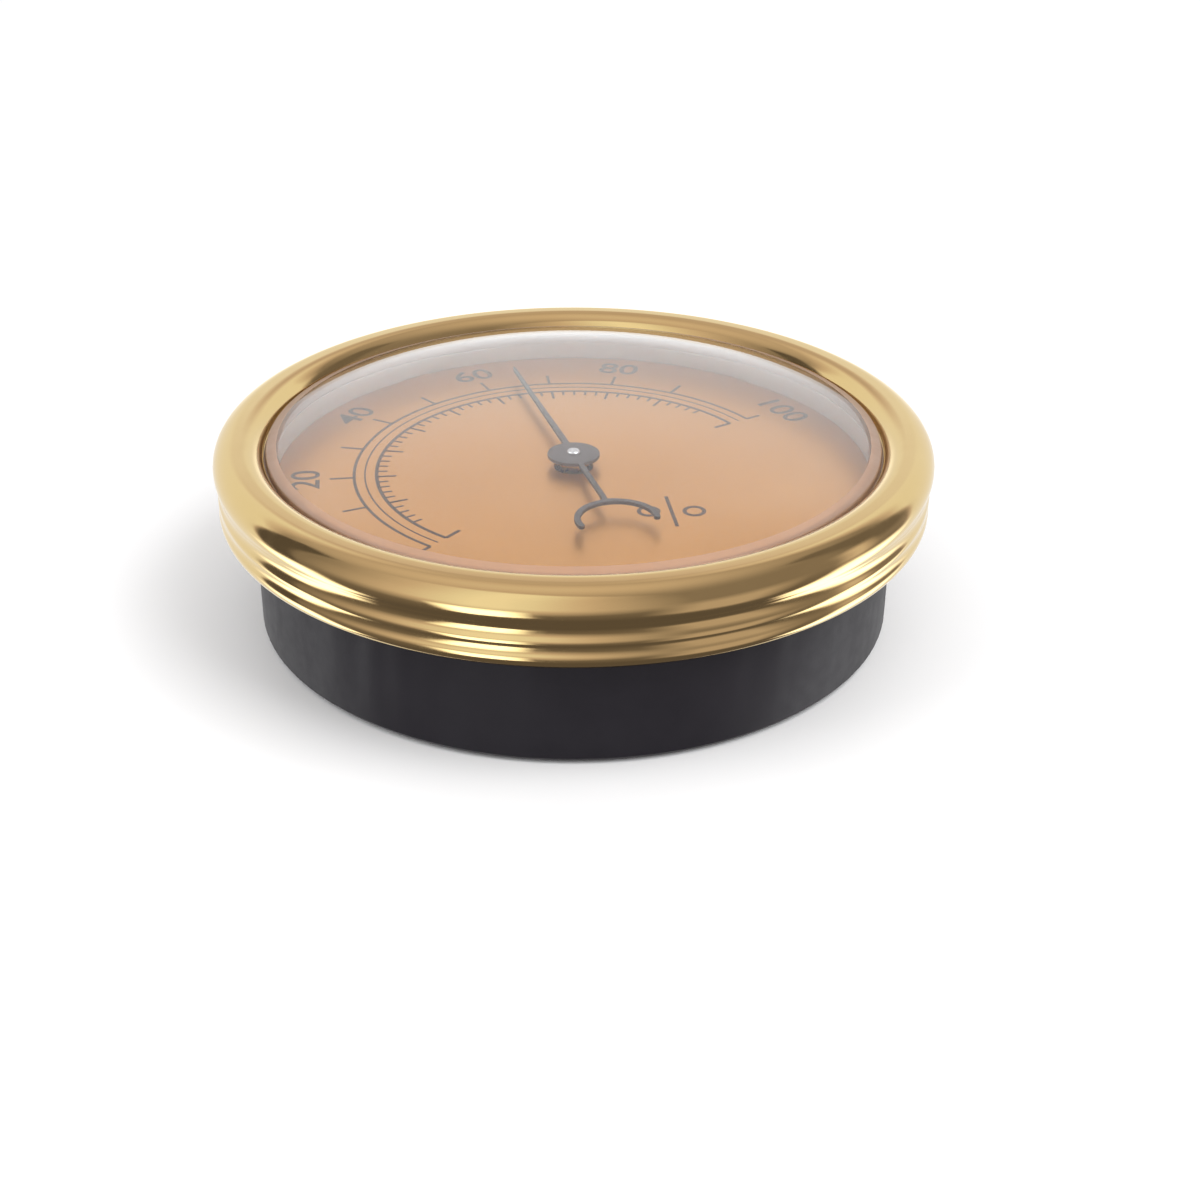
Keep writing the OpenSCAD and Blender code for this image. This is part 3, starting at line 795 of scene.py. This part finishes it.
class HYGRO_OT_movement(bpy.types.Operator):
    """Finish the movement and the calibration parts"""

    bl_idname = "hygro.movement"
    bl_label = "Movement"

    def execute(self, context):
        colours = context.scene.hygro_colours
        nickel, brass, bronze = nickel_plate(colours), turned_brass(colours), coated_bronze(colours)
        # Piece, CAD part, body, finish, slot, and the width of the broken edges in millimetres
        rows = [
            ("bridge_strap", "movement_bridge", "housing", nickel, "plated_steel", 0.08),
            ("bridge_screw_pair", "bridge_screws", "housing", nickel, "plated_steel", 0.05),
            ("front_bearing", "front_bush", "housing", brass, "turned_brass", 0.05),
            ("needle_collet", "pointer_collet", "needle", brass, "turned_brass", 0.04),
            ("spring_collet", "coil_collet", "needle", brass, "turned_brass", 0.05),
            ("spring_pin", "coil_pin", "needle", nickel, "plated_steel", 0.03),
            ("humidity_spring", "hygro_coil", "adjuster", bronze, "bronze_strip", 0.03),
            ("spring_stud", "coil_stud", "adjuster", brass, "turned_brass", 0.05),
            ("calibration_arm", "adjuster_arm", "adjuster", nickel, "plated_steel", 0.06),
            ("calibration_post", "adjuster_post", "adjuster", brass, "turned_brass", 0.06),
            ("rear_bearing", "rear_bush", "adjuster", brass, "turned_brass", 0.04),
            ("cone_washer", "friction_washer", "adjuster", nickel, "plated_steel", 0.04),
            ("post_clip", "retaining_clip", "adjuster", nickel, "plated_steel", 0.05),
        ]
        for name, node, body, finish, slot, width in rows:
            settle(softened(name, node, finish, width), node, body, slot)
        return {"FINISHED"}


class HYGRO_OT_stage(bpy.types.Operator):
    """Set the floor, the lights and the camera"""

    bl_idname = "hygro.stage"
    bl_label = "Stage"

    # Direction that the camera faces, clockwise from the dial's twelve o'clock, and how far it
    # looks down, in degrees
    FACING, PITCH = 43, 28.714
    # The camera's distance from the axis, its height, its focal length and its sensor's width,
    # in millimetres
    DISTANCE, HEIGHT, FOCAL, SENSOR = 190.2, 90.4, 55.3, 36.0
    # Its shift sideways as a share of the frame's width, and where its view starts, in metres
    SHIFT, VIEW_START = 0.022, 0.01
    # Lamps: the turn from the camera's side to the lamp and its lift in degrees, its distance
    # and its size in metres, and its power in watts
    LAMPS = {"key": (-60, 50, 0.9, 0.6, 5.0), "fill": (70, 40, 0.9, 0.5, 2.0)}
    # Half the floor's side, and the distances from the axis over which the floor turns into a
    # white backdrop, in metres
    FLOOR_HALF, SWEEP_START, SWEEP_END = 4.0, 0.12, 0.6
    WHITE = (1.0, 1.0, 1.0, 1.0)
    # The world's strength to dull surfaces, and to rays through the lens, where a little over 1
    # makes up for what the lens holds back
    PLAIN_LEVEL, LENS_LEVEL = 0.85, 1.25
    # Colour of the reflected room where it is dark, and the levels between which it turns white
    SHADE_TINT, TINT_END, WHITE_START = (1.0, 0.87, 0.87, 1.0), 0.75, 1.0
    # Levels of the reflected room and of its ceiling
    ROOM_LEVEL, CEILING_LEVEL = 0.3, 0.82
    # How much a direction to the right and one ahead count as height under that ceiling, the
    # heights where it starts and where it is full, and the power by which it brightens
    HEIGHT_RIGHT, HEIGHT_AHEAD = -0.15, 0.1
    CEILING_START, CEILING_FULL, CEILING_POWER = 0.5, 1.02, 2.0
    # The heights between which it darkens towards the table, and the share that is left there
    TABLE_Z, OPEN_Z, TABLE_SHARE = -0.85, -0.1, 0.45
    # Upright cards round the stage: the turn from behind the object to each card's middle, half
    # its width and the softness of its sides in degrees; the height of its foot and head and
    # their softness as shares of its distance; and its brightness
    CARDS = {
        "white backdrop": (-6, 66.5, 2.5, -3.0, 1.2, 0.3, 1.0),
        "grey card over it": (-3, 15, 8, 0.52, 1.4, 0.12, 0.64),
        "lamp on the backdrop": (0, 16, 9, -0.45, 0.1, 0.1, 1.5),
        "black flag at the left": (-81, 8.5, 1.5, -0.4, 0.9, 0.1, 0.12),
        "softbox at the left": (-155, 32, 28, -0.35, 2.2, 0.3, 1.12),
        "black flag at the right": (73, 12, 4, 0.05, 1.3, 0.1, 0.2),
        "grey card at the right": (88, 6, 4, -0.25, 0.3, 0.1, 0.8),
        "low reflector at the right": (74, 15, 6, -1.4, -0.4, 0.12, 3.0),
        "low reflector at the left": (-78, 13, 6, -1.3, -0.5, 0.1, 3.0),
        "low softbox at the left": (-151, 12, 5, -1.0, -0.32, 0.08, 3.0),
        "low card at the right": (132, 18, 8, -1.0, -0.1, 0.15, 0.6),
    }

    def execute(self, context):
        self.floor()
        self.world(context.scene)
        self.lamps()
        self.camera(context.scene)
        context.scene.view_settings.view_transform = "Standard"
        return {"FINISHED"}

    def facing(self):
        """Level direction that the camera faces."""
        angle = math.radians(self.FACING)
        return Vector((math.sin(angle), math.cos(angle), 0))

    def floor(self):
        """Board, rolled with matt white paint: pale, with soft shadows and a faint stipple."""
        tones = (linear("#F7F7F8"), linear("#F3F3F4"))
        reliefs = [(1.5, 0.01, EVEN)]
        board = mottled("pale_studio_board", tones, 60.0, (0.55, 0.65), 20.0, reliefs)
        self.no_horizon(board.node_tree)
        half = self.FLOOR_HALF
        corners = [(x, y, BACK) for x, y in box_corners(-half, half, -half, half)]
        mesh = bpy.data.meshes.new("floor")
        mesh.from_pydata(corners, [], [(0, 1, 2, 3)])
        floor = piece("floor", mesh, board)
        floor.visible_glossy = False

    def no_horizon(self, tree):
        """Turns the far floor white for the camera, as the sweep of a studio's backdrop does."""
        place = add(tree, "ShaderNodeTexCoord").node.outputs["Object"]
        far = add(tree, "ShaderNodeVectorMath", {0: place}, operation="LENGTH").node.outputs[1]
        far = {0: far, 1: self.SWEEP_START, 2: self.SWEEP_END}
        far = add(tree, "ShaderNodeMapRange", far, interpolation_type="SMOOTHSTEP")
        ray = add(tree, "ShaderNodeLightPath").node.outputs
        far = {0: far, 1: ray["Is Camera Ray"]}
        far = add(tree, "ShaderNodeMath", far, operation="MULTIPLY")
        end = tree.get_output_node("ALL").inputs["Surface"]
        white = add(tree, "ShaderNodeEmission", {"Color": self.WHITE})
        mixed = {0: far, 1: end.links[0].from_socket, 2: white}
        tree.links.new(add(tree, "ShaderNodeMixShader", mixed), end)

    def world(self, scene):
        """White to the camera, a plain level to dull surfaces, and the cards to shiny ones."""
        world = bpy.data.worlds.new("studio")
        scene.world = world
        world.use_nodes = True
        tree = world.node_tree
        tree.nodes.clear()
        direction = add(tree, "ShaderNodeTexCoord").node.outputs["Generated"]
        turned = {"Vector": direction, "Angle": math.radians(self.FACING)}
        turned = add(tree, "ShaderNodeVectorRotate", turned, rotation_type="Z_AXIS")
        right, ahead, up = add(tree, "ShaderNodeSeparateXYZ", {0: turned}).node.outputs
        turn = add(tree, "ShaderNodeMath", {0: right, 1: ahead}, operation="ARCTAN2")
        level = self.room(tree, right, ahead, up)
        for card in self.CARDS.values():
            share = self.card(tree, turned, turn, up, *card[:-1])
            level = add(tree, "ShaderNodeMix", {0: share, 2: level, 3: card[-1]})
        ray = add(tree, "ShaderNodeLightPath").node.outputs
        base = {0: ray["Is Camera Ray"], 2: self.PLAIN_LEVEL, 3: 1.0}
        base = add(tree, "ShaderNodeMix", base)
        base = {0: ray["Is Transmission Ray"], 2: base, 3: self.LENS_LEVEL}
        base = add(tree, "ShaderNodeMix", base)
        # A ray through the lens counts as glossy too, but sees plain white and no cards
        shiny = {0: ray["Is Glossy Ray"], 1: ray["Is Transmission Ray"]}
        shiny = add(tree, "ShaderNodeMath", shiny, operation="SUBTRACT", use_clamp=True)
        strength = add(tree, "ShaderNodeMix", {0: shiny, 2: base, 3: level})
        pale = {0: strength, 1: self.TINT_END, 2: self.WHITE_START}
        pale = add(tree, "ShaderNodeMapRange", pale)
        tint = {0: pale, 6: self.SHADE_TINT, 7: self.WHITE}
        tint = add(tree, "ShaderNodeMix", tint, data_type="RGBA")
        colour = {0: shiny, 6: self.WHITE, 7: tint}
        colour = add(tree, "ShaderNodeMix", colour, data_type="RGBA")
        light = add(tree, "ShaderNodeBackground", {"Color": colour, "Strength": strength})
        add(tree, "ShaderNodeOutputWorld", {"Surface": light})

    def room(self, tree, right, ahead, up):
        """Level of a dim room under a ceiling that is brighter at the left and ahead."""
        tilt = {0: right, 1: self.HEIGHT_RIGHT, 2: up}
        tilt = add(tree, "ShaderNodeMath", tilt, operation="MULTIPLY_ADD")
        tilt = {0: ahead, 1: self.HEIGHT_AHEAD, 2: tilt}
        tilt = add(tree, "ShaderNodeMath", tilt, operation="MULTIPLY_ADD")
        dome = {0: tilt, 1: self.CEILING_START, 2: self.CEILING_FULL}
        dome = add(tree, "ShaderNodeMapRange", dome)
        dome = add(tree, "ShaderNodeMath", {0: dome, 1: self.CEILING_POWER}, operation="POWER")
        dome = {0: dome, 3: self.ROOM_LEVEL, 4: self.CEILING_LEVEL}
        dome = add(tree, "ShaderNodeMapRange", dome)
        fall = {0: up, 1: self.TABLE_Z, 2: self.OPEN_Z, 3: self.TABLE_SHARE, 4: 1.0}
        fall = add(tree, "ShaderNodeMapRange", fall)
        return add(tree, "ShaderNodeMath", {0: dome, 1: fall}, operation="MULTIPLY")

    def card(self, tree, turned, turn, up, middle, half, soft, foot, head, fade):
        """How much of a direction a card covers, from 0 to 1."""
        middle, half, soft = [math.radians(angle) for angle in (middle, half, soft)]
        off = add(tree, "ShaderNodeMath", {0: turn, 1: middle}, operation="SUBTRACT")
        off = add(tree, "ShaderNodeMath", {0: off, 1: math.pi, 2: -math.pi}, operation="WRAP")
        off = add(tree, "ShaderNodeMath", {0: off}, operation="ABSOLUTE")
        across = add(tree, "ShaderNodeMapRange", {0: off, 1: half + soft, 2: half - soft})
        away = {0: turned, 1: (math.sin(middle), math.cos(middle), 0)}
        away = add(tree, "ShaderNodeVectorMath", away, operation="DOT_PRODUCT").node.outputs[1]
        rise = add(tree, "ShaderNodeMath", {0: up, 1: away}, operation="DIVIDE")
        below = add(tree, "ShaderNodeMapRange", {0: rise, 1: head + fade, 2: head - fade})
        above = add(tree, "ShaderNodeMapRange", {0: rise, 1: foot - fade, 2: foot + fade})
        share = add(tree, "ShaderNodeMath", {0: across, 1: below}, operation="MULTIPLY")
        return add(tree, "ShaderNodeMath", {0: share, 1: above}, operation="MULTIPLY")

    def lamps(self):
        """Two soft lamps, which no reflection shows."""
        for name, (turn, lift, distance, size, power) in self.LAMPS.items():
            data = bpy.data.lights.new(name, "AREA")
            data.size = size
            data.energy = power
            lamp = bpy.data.objects.new(name, data)
            bpy.context.scene.collection.objects.link(lamp)
            angle = math.radians(self.FACING + 180 + turn)
            flat, up = math.cos(math.radians(lift)), math.sin(math.radians(lift))
            toward = Vector((math.sin(angle) * flat, math.cos(angle) * flat, up))
            lamp.location = toward * distance
            lamp.rotation_euler = toward.to_track_quat("Z", "Y").to_euler()
            lamp.visible_glossy = False

    def camera(self, scene):
        """The camera, level sideways and turned towards the object."""
        data = bpy.data.cameras.new("camera")
        data.sensor_width = self.SENSOR
        data.lens = self.FOCAL
        data.shift_x = self.SHIFT
        data.clip_start = self.VIEW_START
        camera = bpy.data.objects.new("camera", data)
        scene.collection.objects.link(camera)
        camera.location = -self.facing() * self.DISTANCE * MM + Vector((0, 0, self.HEIGHT * MM))
        camera.rotation_euler = (math.radians(90 - self.PITCH), 0, -math.radians(self.FACING))
        scene.camera = camera


class HYGRO_PT_panel(bpy.types.Panel):
    """Sizes, colours and pieces of the hygrometer"""

    bl_idname = "HYGRO_PT_panel"
    bl_label = "Hygrometer"
    bl_space_type = "VIEW_3D"
    bl_region_type = "UI"
    bl_category = "Hygrometer"

    def draw(self, context):
        for group in (context.scene.hygro_sizes, context.scene.hygro_colours):
            column = self.layout.column()
            for name in group.__annotations__:
                column.prop(group, name)
        for operator in OPERATORS:
            self.layout.operator(operator.bl_idname)


OPERATORS = (
    HYGRO_OT_stage,
    HYGRO_OT_bezel,
    HYGRO_OT_lens,
    HYGRO_OT_dial,
    HYGRO_OT_pointer,
    HYGRO_OT_case,
    HYGRO_OT_movement,
)
CLASSES = (HygroSizes, HygroColours, *OPERATORS, HYGRO_PT_panel)


def register():
    for cls in CLASSES:
        bpy.utils.register_class(cls)
    bpy.types.Scene.hygro_sizes = bpy.props.PointerProperty(type=HygroSizes)
    bpy.types.Scene.hygro_colours = bpy.props.PointerProperty(type=HygroColours)


def unregister():
    del bpy.types.Scene.hygro_colours
    del bpy.types.Scene.hygro_sizes
    for cls in reversed(CLASSES):
        bpy.utils.unregister_class(cls)


def main():
    register()
    for operator in OPERATORS:
        group, name = operator.bl_idname.split(".")
        getattr(getattr(bpy.ops, group), name)()


if __name__ == "__main__":
    main()
